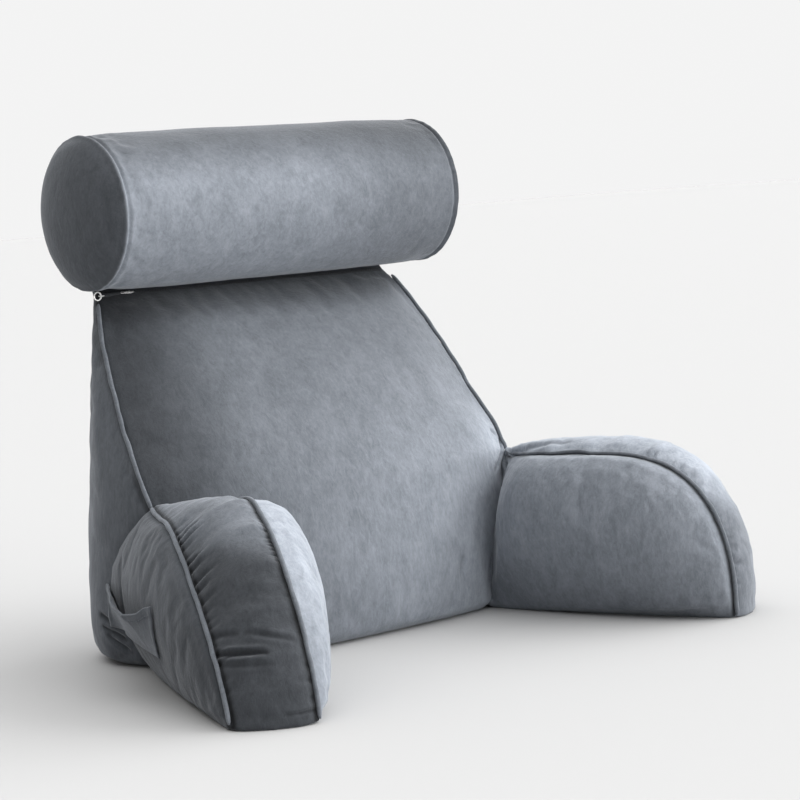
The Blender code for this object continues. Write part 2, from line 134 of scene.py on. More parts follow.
cameraView = {
    "place": (-1.5088, -1.9355, 0.4570),
    "turn": 38.71,        # degrees to the right of +Y
    "tip": 5.045,         # degrees down
    "lean": -4.25,
    "lens": 107.75,
    "shift": (0.0104, 0.0095),
}


def makeCamera(view):
    data = bpy.data.cameras.new("camera")
    data.lens = view["lens"]
    data.sensor_width = 36.0
    data.shift_x, data.shift_y = view["shift"]
    camera = newPiece("camera", data)
    turn = Matrix.Rotation(-math.radians(view["turn"]), 4, "Z")
    tip = Matrix.Rotation(math.radians(90 - view["tip"]), 4, "X")
    lean = Matrix.Rotation(math.radians(view["lean"]), 4, "Z")
    camera.matrix_world = Matrix.Translation(view["place"]) @ turn @ tip @ lean
    scene.camera = camera


studio = {
    "floorHalf": 60.0,
    "floorColour": (0.477, 0.477, 0.477, 1.0),
    "floorRoughness": 0.9,
    "floorSpecular": 0.1,
    "brightSide": (0.90, 0.90, 0.90, 1.0),      # the room behind, above and right of the pillow
    "darkSide": (0.10, 0.098, 0.095, 1.0),      # and the unlit room left and in front of it
    "brightFrom": (0.64, 0.50, 0.58),
    "turnRange": (-0.25, 0.80),                 # from the one to the other
    "lights": (
        # name, strength, where it comes from, apparent size in degrees
        ("key", 4.0, (0.89, -0.40, 0.17), 75.0),
        ("front", 2.4, (0.22, -0.93, 0.13), 60.0),
        ("top", 2.4, (0.20, 0.10, 1.0), 110.0),
        ("left", 0.25, (-0.90, -0.35, 0.20), 90.0),
    ),
}


def makeSun(name, strength, comesFrom, angle):
    data = bpy.data.lights.new(name, "SUN")
    data.energy = strength
    data.angle = math.radians(angle)
    sun = newPiece(name, data)
    sun.rotation_euler = Vector(comesFrom).to_track_quat("Z", "Y").to_euler()


def makeStudio(s):
    bm = bmesh.new()
    bmesh.ops.create_grid(bm, x_segments=1, y_segments=1, size=s["floorHalf"])
    floor = pieceFrom("floor", bm)
    paper, tree, shader, _ = newMaterial("palePaper")
    feed(tree, shader, {"Base Color": s["floorColour"], "Roughness": s["floorRoughness"],
                        "Specular IOR Level": s["floorSpecular"]})
    floor.data.materials.append(paper)
    world = bpy.data.worlds.new("studio")
    world.use_nodes = True
    tree = world.node_tree
    direction = tree.nodes.new("ShaderNodeTexCoord").outputs["Generated"]
    along = tree.nodes.new("ShaderNodeVectorMath")
    along.operation = "DOT_PRODUCT"
    feed(tree, along, {0: direction, 1: Vector(s["brightFrom"]).normalized()})
    turn = rangeNode(tree, along.outputs["Value"], *s["turnRange"], 0.0, 1.0)
    turn.node.interpolation_type = "SMOOTHSTEP"
    room = tree.nodes["Background"]
    feed(tree, room, {"Color": mixNode(tree, turn, s["darkSide"], s["brightSide"])})
    backdrop = tree.nodes.new("ShaderNodeBackground")    # the plain paper that is seen behind
    feed(tree, backdrop, {"Color": s["brightSide"]})
    seen = tree.nodes.new("ShaderNodeMixShader")
    rays = tree.nodes.new("ShaderNodeLightPath")
    feed(tree, seen, {"Fac": rays.outputs["Is Camera Ray"], 1: room.outputs["Background"],
                      2: backdrop.outputs["Background"]})
    feed(tree, tree.nodes["World Output"], {"Surface": seen.outputs["Shader"]})
    scene.world = world
    for name, strength, comesFrom, angle in s["lights"]:
        makeSun(name, strength, comesFrom, angle)
    scene.view_settings.view_transform = "Standard"


makeCamera(cameraView)
makeStudio(studio)
print("camera and studio ready")


# small helpers for lines and fields

def readAll(items, name):
    values = np.empty(len(items) * 3)
    items.foreach_get(name, values)
    return values.reshape(-1, 3)


def placesOf(mesh):
    return readAll(mesh.vertices, "co")


def normalsOf(mesh):
    return readAll(mesh.vertex_normals, "vector")


def setPlaces(mesh, places):
    mesh.vertices.foreach_set("co", places.astype(np.float32).ravel())
    mesh.update()


def settled(piece):
    # the piece with its modifiers applied
    evaluated = piece.evaluated_get(bpy.context.evaluated_depsgraph_get())
    mesh = bpy.data.meshes.new_from_object(evaluated)
    old = piece.data
    piece.modifiers.clear()
    piece.data = mesh
    bpy.data.meshes.remove(old)
    return mesh


def remeshed(name, nodeName, voxel, smoothing):
    # a new piece in the shape of a CAD solid, with even faces all over
    bm = bmesh.new()
    bm.from_mesh(nodes[nodeName].data)
    bmesh.ops.remove_doubles(bm, verts=bm.verts, dist=1e-5)
    piece = pieceFrom(name, bm)
    remesh = piece.modifiers.new("remesh", "REMESH")
    remesh.mode = "VOXEL"
    remesh.voxel_size = voxel
    smooth = piece.modifiers.new("smooth", "SMOOTH")
    smooth.factor = 0.5
    smooth.iterations = smoothing
    settled(piece)
    bm = bmesh.new()
    bm.from_mesh(piece.data)
    dropIslands(bm)
    bm.to_mesh(piece.data)
    bm.free()
    return piece


def dropIslands(bm):
    # keeps the largest connected skin, without what a remesh leaves inside
    bm.verts.ensure_lookup_table()
    seen = set()
    islands = []
    for vertex in bm.verts:
        if vertex.index in seen:
            continue
        seen.add(vertex.index)
        island = [vertex]
        for here in island:
            for edge in here.link_edges:
                other = edge.other_vert(here)
                if other.index not in seen:
                    seen.add(other.index)
                    island.append(other)
        islands.append(island)
    islands.sort(key=len)
    for island in islands[:-1]:
        bmesh.ops.delete(bm, geom=island, context="VERTS")


def tubeLine(nodeName, reach=0.0056):
    # middle line of a tube, from its lowest end, walking from ring to ring
    left = list({tuple(round(c, 5) for c in v.co) for v in nodes[nodeName].data.vertices})
    left = np.array(sorted(left))
    here = left[left[:, 2].argmin()]
    line = []
    while len(left):
        start = left[np.linalg.norm(left - here, axis=1).argmin()]
        near = np.linalg.norm(left - start, axis=1) < reach
        here = left[near].mean(0)
        line.append(here)
        left = left[~near]
    return np.array(line)


def runAlong(points):
    # how far along the line each of its points lies
    return np.concatenate(([0], np.cumsum(np.linalg.norm(np.diff(points, axis=0), axis=1))))


def pointsAt(wanted, run, points):
    # the points that lie at the wanted distances along a line
    return np.stack([np.interp(wanted, run, points[:, axis]) for axis in range(3)], -1)


def evenLine(points, step):
    # points every step along straight runs
    run = runAlong(points)
    return pointsAt(np.linspace(0, run[-1], max(2, round(run[-1] / step) + 1)), run, points)


def smoothLine(points, step):
    # a Catmull-Rom curve through the points, with a point every step
    points = np.asarray(points, float)
    padded = np.vstack((2 * points[0] - points[1], points, 2 * points[-1] - points[-2]))
    dense = []
    for a, b, c, d in zip(padded, padded[1:], padded[2:], padded[3:]):
        for t in np.linspace(0, 1, 12, endpoint=False):
            dense.append(0.5 * (2 * b + (c - a) * t + (2 * a - 5 * b + 4 * c - d) * t * t
                                + (3 * b - a - 3 * c + d) * t ** 3))
    return evenLine(np.array(dense + [points[-1]]), step)


def ringOf(bm, middle, u, v, radius, sides):
    # points round a middle, in the plane of the directions u and v
    turns = [2 * math.pi * k / sides for k in range(sides)]
    return [bm.verts.new(middle + (u * math.cos(t) + v * math.sin(t)) * radius) for t in turns]


def joinRings(bm, rings, closed=False):
    # faces from each ring of points to the next, and a cap at both ends of an open run
    count = len(rings[0])
    pairs = list(zip(rings, rings[1:])) + ([(rings[-1], rings[0])] if closed else [])
    made = [bm.faces.new((a[k], a[(k + 1) % count], b[(k + 1) % count], b[k]))
            for a, b in pairs for k in range(count)]
    if not closed:
        made += [bm.faces.new(rings[0][::-1]), bm.faces.new(rings[-1])]
    return made


def toLine(places, line):
    # distance from each place to the line, and the number of the nearest point on it
    gaps = np.empty(len(places))
    index = np.empty(len(places), int)
    blockSize = 8000         # so that the squares fit in memory
    for start in range(0, len(places), blockSize):
        block = slice(start, start + blockSize)
        square = ((places[block][:, None, :] - line[None]) ** 2).sum(2)
        index[block] = square.argmin(1)
        gaps[block] = np.sqrt(square.min(1))
    return gaps, index


def noiseField(places, size, seed):
    # smooth noise from -1 to 1, its bumps about one size apart
    shift = Vector((seed * 7.31, seed * 3.17, seed * 5.53))
    return np.array([noise.noise(Vector(p) / size + shift) for p in places])


def bump(x, width):
    return np.exp(-(x / width) ** 2)


def fade(x, low, high):
    t = np.clip((x - low) / (high - low), 0, 1)
    return t * t * (3 - 2 * t)


def nearLines(places, lines, reach):
    # 1 on the lines, running out over the reach
    return np.max([bump(toLine(places, line)[0], reach) for line in lines], axis=0)


def skinOf(*pieces):
    # a search tree of the pieces' faces
    points, faces = [], []
    for piece in pieces:
        base = len(points)
        points += [v.co.copy() for v in piece.data.vertices]
        faces += [[base + i for i in p.vertices] for p in piece.data.polygons]
    return BVHTree.FromPolygons(points, faces)


def junctionLine(armName, touch=0.00045):
    # the closed line round the faces where an arm lies on the backrest
    bm = bmesh.new()
    bm.from_mesh(nodes[armName].data)
    bmesh.ops.remove_doubles(bm, verts=bm.verts, dist=1e-6)
    backrest = skinOf(nodes["backrest"])
    for face in bm.faces:
        face.tag = backrest.find_nearest(face.calc_center_median())[3] < touch
    follow = {}
    for edge in bm.edges:
        if len(edge.link_faces) == 2 and edge.link_faces[0].tag != edge.link_faces[1].tag:
            for vertex in edge.verts:
                follow.setdefault(vertex, []).append(edge.other_vert(vertex))
    here = min(follow, key=lambda v: (v.co.z, v.index))
    line, seen = [], set()
    while here is not None:
        line.append(tuple(here.co))
        seen.add(here)
        here = next((v for v in follow[here] if v not in seen), None)
    bm.free()
    return np.array(line + line[:1])


def outwardOf(line):
    # level direction square to the plane of an arm's seam, away from the seat
    centred = line - line.mean(0)
    across = np.linalg.svd(centred, full_matrices=False)[2][2]
    across[2] = 0.0
    across /= np.linalg.norm(across)
    return across if across[0] * line[:, 0].mean() > 0 else -across


def acrossSeam(places, name):
    # how far each place lies beyond an arm's seam, its distance, and the nearest point's number
    line = seams[name]
    gaps, index = toLine(places, line)
    offset = (places - line[index]) @ outward[name.rsplit("_", 1)[1]]
    return offset, gaps, index


def armSeams(side):
    # names of the two seams between an arm's three panels
    return ["inner_piping_" + side, "outer_piping_" + side]


seamStep = 0.0015
seams = {name: smoothLine(tubeLine(name), seamStep) for name in nodes if "piping" in name}
joins = {side: evenLine(junctionLine("arm_" + side), seamStep) for side in ("left", "right")}
outward = {side: outwardOf(seams["inner_piping_" + side]) for side in ("left", "right")}
print("seams read from the frame:", {name: len(line) for name, line in seams.items()},
      "joins:", {side: len(line) for side, line in joins.items()})


# plush, tape and metal

plush = {
    "dark": (0.114, 0.126, 0.143, 1.0),
    "light": (0.182, 0.197, 0.222, 1.0),
    "sheenTint": (0.90, 0.94, 1.0, 1.0),
    "pileHeight": 0.0016,
    # scale, detail, roughness and distortion of each layer, from broad to fine
    "clouds": (30.0, 4.0, 0.60, 0.5),
    "strokes": (95.0, 5.0, 0.62, 0.6),
    "pile": (320.0, 4.0, 0.75, 0.4),
    "shares": (0.28, 0.36, 0.36),       # of the three in the colour
    "colourRange": (0.39, 0.61),
    "roughness": (0.80, 0.97),
    "specular": 0.18,
    "sheen": 0.30,
    "sheenRoughness": 0.42,
    "bump": 0.45,
}


def plushMaterial(name, shade, flow, usesPaintedShading=True):
    # the pile: clouds where hands have stroked it, strokes along the flow, fine fibres
    material, tree, shader, coordinates = newMaterial(name)
    layers = [noiseNode(tree, coordinates, *plush[kind], flow)
              for kind in ("clouds", "strokes", "pile")]
    _, strokes, pile = layers
    parts = [mathNode(tree, "MULTIPLY", layer, part) for layer, part in zip(layers, plush["shares"])]
    mixed = mathNode(tree, "ADD", mathNode(tree, "ADD", parts[0], parts[1]), parts[2])
    share = rangeNode(tree, mixed, *plush["colourRange"], 0.0, 1.0)
    # shade makes lighter and darker copies of the one plush: painted light and shade
    dark, light = ([c * shade for c in plush[end][:3]] + [1.0] for end in ("dark", "light"))
    colour = mixNode(tree, share, dark, light)
    # the paintedShading attribute scales the colour again per point: painted light and shade
    if usesPaintedShading:
        paintedShading = tree.nodes.new("ShaderNodeAttribute")
        paintedShading.attribute_name = "paintedShading"
        scaled = tree.nodes.new("ShaderNodeVectorMath")
        scaled.operation = "SCALE"
        feed(tree, scaled, {0: colour, "Scale": paintedShading.outputs["Fac"]})
        colour = scaled.outputs["Vector"]
    rough = rangeNode(tree, strokes, 0.3, 0.7, *plush["roughness"])
    feed(tree, shader, {"Base Color": colour, "Roughness": rough,
                        "Specular IOR Level": plush["specular"], "Sheen Weight": plush["sheen"],
                        "Sheen Roughness": plush["sheenRoughness"], "Sheen Tint": plush["sheenTint"]})
    height = mathNode(tree, "ADD", mathNode(tree, "MULTIPLY", pile, 0.45), strokes)
    addBump(tree, shader, height, plush["bump"], plush["pileHeight"])
    return material


# darkest and lightest colour, and how metallic the metal is
zipFinish = {
    "metal": ((0.72, 0.72, 0.71, 1.0), (0.90, 0.89, 0.87, 1.0)),
    "coil": ((0.020, 0.022, 0.026, 1.0), (0.050, 0.053, 0.060, 1.0)),
    "tape": ((0.018, 0.020, 0.024, 1.0), (0.060, 0.064, 0.072, 1.0)),
    "metallic": 0.72,
}


def metalMaterial(name):
    # plated metal, tarnished in places and finely scratched
    material, tree, shader, coordinates = newMaterial(name)
    scratches = noiseNode(tree, coordinates, 900.0, 3.0, 0.6, 0.0, (0.2, 1.0, 1.0))
    tarnish = noiseNode(tree, coordinates, 160.0, 2.0, 0.5, 0.0, (1.0, 1.0, 1.0))
    feed(tree, shader, {"Base Color": mixNode(tree, tarnish, *zipFinish["metal"]),
                        "Metallic": zipFinish["metallic"],
                        "Roughness": rangeNode(tree, scratches, 0.3, 0.7, 0.16, 0.40)})
    return material


def coilMaterial(name):
    # the nylon coil of the zip
    material, tree, shader, coordinates = newMaterial(name)
    wear = noiseNode(tree, coordinates, 240.0, 2.0, 0.5, 0.0, (1.0, 1.0, 1.0))
    feed(tree, shader, {"Base Color": mixNode(tree, wear, *zipFinish["coil"]), "Roughness": 0.45})
    return material


def tapeMaterial(name):
    # woven tape
    material, tree, shader, coordinates = newMaterial(name)
    weave = tree.nodes.new("ShaderNodeTexWave")
    feed(tree, weave, {"Scale": 700.0, "Distortion": 0.6, "Vector": coordinates})
    colour = mixNode(tree, weave.outputs["Fac"], *zipFinish["tape"])
    feed(tree, shader, {"Base Color": colour, "Roughness": 0.8})
    addBump(tree, shader, weave.outputs["Fac"], 0.4, 0.0002)
    return material


# each panel is cut with its pile running another way, and its copy of the plush is painted lighter or
# darker, partly for that and partly as painted light and shade
panels = ("Inner", "Gusset", "Outer")
paintedPanelShade = {"leftInner": 1.45, "leftGusset": 0.66, "leftOuter": 0.80,
              "rightInner": 1.28, "rightGusset": 1.12, "rightOuter": 1.0}
# the pipings' plush painted a little darker: painted shade
paintedPipingShade = {"inner": 0.90, "outer": 0.95, "side": 0.85}
plushCloth = plushMaterial("plushCloth", 1.0, (1.0, 1.0, 0.42))
panelCloth = {name: plushMaterial(name + "Cloth", shade, (1.0, 1.0, 0.50))
              for name, shade in paintedPanelShade.items()}
# the roll's plush painted lighter: painted light
rollCloth = plushMaterial("rollCloth", 1.22, (0.8, 1.0, 0.6))
# the pocket's plush painted darker: painted shade
pocketCloth = plushMaterial("pocketCloth", 0.66, (1.0, 1.0, 0.50), False)
pipingCloth = {name: plushMaterial(name + "PipingCloth", shade, (1.0, 1.0, 1.0), False)
               for name, shade in paintedPipingShade.items()}
threadCloth = plushMaterial("stitchThread", 0.90, (1.0, 1.0, 1.0), False)
zipMetal = metalMaterial("zipMetal")
zipTape = tapeMaterial("zipTape")
zipCoil = coilMaterial("zipCoil")
print("materials ready")


# the backrest and the two arms, each a stuffed form in its sewn cover

stuffing = {
    "backVoxel": 0.0068,
    "armVoxel": 0.0050,
    "regain": 1.8,           # share given back of what meshing anew has drawn in
    "regainMost": 0.0045,
    "seamHold": 0.0060,      # the cover is held within this reach of a seam,
    "floorHold": (0.002, 0.012),     # on the floor, between these heights,
    "rollHold": (0.004, 0.014),      # under the roll, at these distances,
    "joinHold": 0.030,       # and softly within this reach of the backrest,
    "joinShare": 0.59,       # with this strength
    "pinAbove": 0.6,         # what is held more than this doesn't move at all
    "tuck": 0.0065,          # an arm's end goes this far into the backrest
    "tuckReach": 0.0085,
    "inset": 0.0006,         # the skin starts this far in, and the filling pushes it out
    "pressure": 3.0,
    "panelSlack": -0.008,    # each edge of a panel wants to be this share longer
    "gussetSlack": -0.045,   # and of a gathered gusset
    "frames": 18,
    "cap": 0.0055,           # no point moves further than this
    "fineReach": 0.0100,     # finer faces this close to a seam
    "foldReach": 0.0090,     # and to a fold
    "pinch": 0.0058,         # reach of the pull towards a piping
    "pinchPull": 0.92,
    "sink": 0.0018,          # the cover dips this much at a piping
    "sinkReach": 0.0034,
    "joinDip": 0.0016,       # and this much at the inner panel's back edge
    "joinDipReach": 0.020,
    "calmSeam": (0.002, 0.012),      # no unevenness at a seam, all of it this far away,
    "calmFloor": (0.0, 0.012),       # and nothing at all on the floor
    # size, seed and height of the cover's broad and fine unevenness
    "uneven": ((0.11, 1, 0.0016), (0.035, 2, 0.0005)),
}

# the cover as cloth
cover = {"quality": 5, "mass": 0.25, "stretch": 12.0, "shear": 4.0, "bending": 0.5}

# puckers square to a seam, between two heights
puckers = [
    # seam, side of it, pitch, reach, depth, lowest, highest
    ("outer_piping_left", -1, 0.0112, 0.040, 0.0025, 0.080, 0.158),
    ("outer_piping_left", -1, 0.0130, 0.022, 0.0013, 0.012, 0.080),
    ("inner_piping_left", 1, 0.0080, 0.017, 0.0014, 0.120, 0.175),
    ("inner_piping_left", 1, 0.0150, 0.020, 0.0009, 0.012, 0.120),
    ("inner_piping_right", 1, 0.0115, 0.018, 0.0026, 0.030, 0.1665),
    ("outer_piping_right", -1, 0.0130, 0.020, 0.0015, 0.020, 0.170),
    ("outer_piping_right", 1, 0.0210, 0.022, 0.0006, 0.020, 0.170),
]

# and how they vary along it
gather = {
    "driftSize": 0.016,       # over this length the pitch wanders,
    "drift": 0.9,             # by this share
    "strengthSize": 0.021,    # and over this length the depth
    "narrow": 0.21,           # width of a trough, as a share of the pitch
    "crown": 0.37,            # how much the cloth stands up between two troughs
    "start": (0.0010, 0.0050),
}

# single folds in the cover, as runs of points with a width and a depth
folds = {
    "gussetDeep": ((-0.3300, -0.1870, 0.0622), (-0.3195, -0.2121, 0.0647),
                   (-0.3040, -0.2315, 0.0654), 0.0025, 0.0046),
    "gussetUpper": ((-0.3239, -0.1780, 0.0769), (-0.3142, -0.2015, 0.0807), 0.0026, 0.0014),
    "gussetInner": ((-0.3087, -0.2100, 0.0818), (-0.2959, -0.2267, 0.0781),
                    (-0.2790, -0.2400, 0.0737), 0.0026, 0.0017),
    "gussetLow": ((-0.3314, -0.1905, 0.0529), (-0.3213, -0.2194, 0.0550),
                  (-0.3030, -0.2385, 0.0557), 0.0024, 0.0011),
    "toeSeam": ((-0.3060, -0.2540, 0.0116), (-0.2785, -0.2608, 0.0120), 0.0018, 0.0014),
    "cornerHigh": ((-0.2403, 0.1460, 0.0545), (-0.2370, 0.1211, 0.0440), 0.0034, 0.0036),
    "cornerMiddle": ((-0.2404, 0.1424, 0.0427), (-0.2346, 0.1096, 0.0313), 0.0030, 0.0036),
    "cornerLow": ((-0.2397, 0.1356, 0.0348), (-0.2321, 0.1072, 0.0179), 0.0028, 0.0030),
    "junctionDeep": ((0.2370, 0.0560, 0.1805), (0.2300, 0.0465, 0.1670), (0.2070, 0.0357, 0.1485),
                     0.0024, 0.0042),
    "junctionNick": ((0.2254, 0.0575, 0.1910), (0.2340, 0.0560, 0.1850), 0.0022, 0.0016),
    "panelLeft": ((0.1326, 0.0080, 0.0670), (0.1298, 0.0071, 0.0430), 0.0032, 0.0018),
    "panelRight": ((0.1855, 0.0214, 0.0610), (0.1837, 0.0216, 0.0366), 0.0030, 0.0018),
    "gussetRight": ((0.2358, 0.0401, 0.1658), (0.2214, -0.0273, 0.1777), (0.2346, -0.0609, 0.1800),
                    0.0040, 0.0020),
}


foldShape = {
    "ends": 0.6,              # how bluntly a fold runs out
    "leftRoll": 0.45,         # height of the rolls of cloth beside the trough
    "rightRoll": 0.35,
    "reach": 0.025,
    "darkest": 0.62,          # most of the light that a deep fold loses, painted as shade
    "darkDepth": 0.007,       # a fold this deep would lose all
    "strongFrom": 0.002,      # puckers deeper than this get finer faces
}


def applySwelling(piece, places, held, slack, look):
    # drawn in a little, then pressed out from inside with the seams held, and the move capped
    setPlaces(piece.data, places)
    inset = (1 - held)[:, None] * look["inset"]
    setPlaces(piece.data, places - normalsOf(piece.data) * inset)
    before = placesOf(piece.data)
    for name, weights in (("held", held), ("slack", slack)):
        group = piece.vertex_groups.new(name=name)
        for index in np.nonzero(weights > 0.01)[0]:
            group.add([int(index)], float(weights[index]), "REPLACE")
    cloth = piece.modifiers.new("cloth", "CLOTH")
    settings = cloth.settings
    settings.quality = cover["quality"]
    settings.mass = cover["mass"]
    settings.tension_stiffness = settings.compression_stiffness = cover["stretch"]
    settings.shear_stiffness = cover["shear"]
    settings.bending_stiffness = cover["bending"]
    settings.shrink_min = look["panelSlack"]
    settings.shrink_max = look["gussetSlack"]
    settings.vertex_group_shrink = "slack"
    settings.use_pressure = True
    settings.uniform_pressure_force = look["pressure"]
    settings.vertex_group_mass = "held"
    settings.effector_weights.gravity = 0.0
    cloth.point_cache.frame_start = 1
    cloth.point_cache.frame_end = look["frames"]
    for number in range(1, look["frames"] + 1):
        scene.frame_set(number)
    evaluated = piece.evaluated_get(bpy.context.evaluated_depsgraph_get())
    move = placesOf(evaluated.data) - before
    piece.modifiers.clear()
    piece.vertex_groups.clear()
    scene.frame_set(1)
    length = np.linalg.norm(move, axis=1, keepdims=True) + 1e-9
    move *= look["cap"] * np.tanh(length / look["cap"]) / length
    setPlaces(piece.data, before + move)


def gussetShare(places):
    # 1 on the gathered strips between an arm's two pipings, 0 elsewhere
    share = np.zeros(len(places))
    for side in ("left", "right"):
        reach = []
        for name, sign in zip(armSeams(side), (1, -1)):
            offset, gaps, _ = acrossSeam(places, name)
            reach.append(fade(offset * sign, -0.002, 0.004) * (1 - fade(gaps, 0.055, 0.075)))
        share = np.maximum(share, reach[0] * reach[1])
    return share


rollLow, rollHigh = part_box("neck_roll")
rollMiddle = (rollLow + rollHigh) / 2
rollRadius = (rollHigh.z - rollLow.z) / 2


def tuckedIn(places):
    # the end of an arm pressed into the backrest, and how much each point moved
    backrest = skinOf(nodes["backrest"])
    moved = np.zeros(len(places))
    tucked = places.copy()
    for k, place in enumerate(places):
        spot, normal, _, gap = backrest.find_nearest(Vector(place), 0.02)
        if spot is None:
            continue
        moved[k] = 1 - fade(gap, 0.0, stuffing["tuckReach"])
        tucked[k] -= np.array(normal) * stuffing["tuck"] * moved[k]
    return tucked, moved


def restored(piece, nodeName):
    # moves the skin back out to the CAD surface where meshing it anew has drawn it in
    tree = skinOf(nodes[nodeName])
    places, normals = placesOf(piece.data), normalsOf(piece.data)
    for k, place in enumerate(places):
        spot = tree.find_nearest(Vector(place))[0]
        short = (np.array(spot) - place) @ normals[k]
        if short > 0:
            places[k] += normals[k] * min(short * stuffing["regain"], stuffing["regainMost"])
    setPlaces(piece.data, places)


def inflated(pieceName, nodeName, lines):
    # a CAD solid as an evenly meshed skin, blown up between its seams
    isArm = nodeName != "backrest"
    piece = remeshed(pieceName, nodeName, stuffing["armVoxel" if isArm else "backVoxel"], 2)
    restored(piece, nodeName)
    places = placesOf(piece.data)
    held = nearLines(places, lines, stuffing["seamHold"])
    held = np.maximum(held, 1 - fade(places[:, 2], *stuffing["floorHold"]))
    slack = held * 0
    if isArm:
        places, tucked = tuckedIn(places)
        held = np.maximum(held, tucked)
        join = joins[nodeName.rsplit("_", 1)[1]][::3]
        near = bump(toLine(places, join)[0], stuffing["joinHold"])
        held = np.maximum(held, stuffing["joinShare"] * near)
        slack = gussetShare(places)
    else:
        rollGap = np.hypot(places[:, 1] - rollMiddle[1], places[:, 2] - rollMiddle[2]) - rollRadius
        held = np.maximum(held, 1 - fade(rollGap, *stuffing["rollHold"]))
    held[held > stuffing["pinAbove"]] = 1.0
    applySwelling(piece, places, held, slack, stuffing)
    return piece


def subdivideNear(piece, lines):
    # splits the edges that lie within each line's own reach
    places = placesOf(piece.data)
    near = np.zeros(len(places), bool)
    for line, reach in lines:
        near |= toLine(places, line)[0] < reach
    bm = bmesh.new()
    bm.from_mesh(piece.data)
    bm.verts.ensure_lookup_table()
    close = [e for e in bm.edges if near[e.verts[0].index] and near[e.verts[1].index]]
    bmesh.ops.subdivide_edges(bm, edges=close, cuts=1, use_grid_fill=True)
    bm.to_mesh(piece.data)
    bm.free()


def refine(piece, lines):
    # one subdivision everywhere, and one more near the lines
    fine = piece.modifiers.new("fine", "SUBSURF")
    fine.levels = fine.render_levels = 1
    settled(piece)
    subdivideNear(piece, lines)


def foldLine(points):
    return smoothLine(points, 0.0010) if len(points) > 2 else evenLine(np.array(points), 0.0010)


def gatheredRun(row):
    # the stretch of a seam that is strongly gathered
    name, _, _, reach, _, low, high = row
    line = seams[name]
    return line[(line[:, 2] > low) & (line[:, 2] < high)][::2], reach * 0.85


def unevenness(places, look):
    # the small hills and hollows of a filled cover
    return sum(noiseField(places, size, seed) * rise for size, seed, rise in look["uneven"])


def pinchTo(places, lines, reach, strength):
    # cloth close to the lines is drawn in to them from both sides
    for line in lines:
        gaps, index = toLine(places, line)
        pull = strength * bump(gaps, reach)[:, None]
        places = places + (line[index] - places) * pull
    return places


def noiseAlong(line, size, seed, lane):
    # smooth noise from -1 to 1 along a seam
    return np.array([noise.noise(Vector((k * seamStep / size, seed, lane)))
                     for k in range(len(line))])


def puckerField(places, row, seed):
    # height of the puckers along one side of a seam
    name, sign, pitch, reach, depth, low, high = row
    offset, gaps, index = acrossSeam(places, name)
    line = seams[name]
    drift = np.cumsum(noiseAlong(line, gather["driftSize"], seed, 0.3))
    strength = noiseAlong(line, gather["strengthSize"], seed, 7.7)[index]
    length = reach * (0.75 + 0.6 * strength)
    phase = index * seamStep / pitch + drift[index] * seamStep / pitch * gather["drift"]
    trough = np.exp(-((phase % 1.0 - 0.5) / gather["narrow"]) ** 2) - gather["crown"]
    along = fade(gaps, *gather["start"]) * (1 - fade(gaps, length * 0.35, length))
    between = fade(line[index, 2], low - 0.008, low + 0.004)
    between = between * (1 - fade(line[index, 2], high - 0.004, high + 0.004))
    onSide = fade(offset * sign, 0.0, 0.0015)
    return -depth * trough * along * between * onSide * (0.75 + 1.1 * strength)


def foldField(places, normals, points, width, depth):
    # a sharp trough with a soft roll of cloth on each side, running out at its ends
    line = foldLine(points)
    height = np.zeros(len(places))
    near = np.nonzero(np.abs(places - line.mean(0)).max(1) < 0.07)[0]
    gaps, index = toLine(places[near], line)
    ahead = np.gradient(line, axis=0)[index]
    ahead /= np.linalg.norm(ahead, axis=1, keepdims=True)
    offset = places[near] - line[index]
    acrossAxis = np.cross(normals[near], ahead)
    across = (offset * acrossAxis).sum(1)
    past = np.abs((offset * ahead).sum(1))
    alongLine = np.sin(np.pi * np.clip((index + 0.5) / len(line), 0, 1))
    ends = alongLine ** foldShape["ends"] * bump(past, width)
    profile = bump(across, width) - foldShape["leftRoll"] * bump(across - 2.0 * width, width)
    profile -= foldShape["rightRoll"] * bump(across + 2.0 * width, width)
    height[near] = -depth * profile * ends * (gaps < foldShape["reach"])
    return height


def shapeCover(piece, lines, rows):
    # the cover drawn in to its seams, with its puckers, folds and slight unevenness
    places = pinchTo(placesOf(piece.data), lines, stuffing["pinch"], stuffing["pinchPull"])
    setPlaces(piece.data, places)
    normals = normalsOf(piece.data)
    height = unevenness(places, stuffing)
    for line in lines:
        gaps = toLine(places, line)[0]
        height *= fade(gaps, *stuffing["calmSeam"])
        height -= stuffing["sink"] * bump(gaps, stuffing["sinkReach"])
    for seed, row in enumerate(rows):
        height += puckerField(places, row, seed + 0.5)
    if rows:
        side = rows[0][0].rsplit("_", 1)[1]
        toSeat = acrossSeam(places, armSeams(side)[0])[0] < 0
        atJoin = bump(toLine(places, joins[side][::3])[0], stuffing["joinDipReach"])
        height -= stuffing["joinDip"] * atJoin * toSeat
    for *points, width, depth in folds.values():
        height += foldField(places, normals, points, width, depth)
    calm = fade(places[:, 2], *stuffing["calmFloor"])
    places = places + normals * (height * calm)[:, None]
    places[:, 2] = np.maximum(places[:, 2], 0.0)
    setPlaces(piece.data, places)
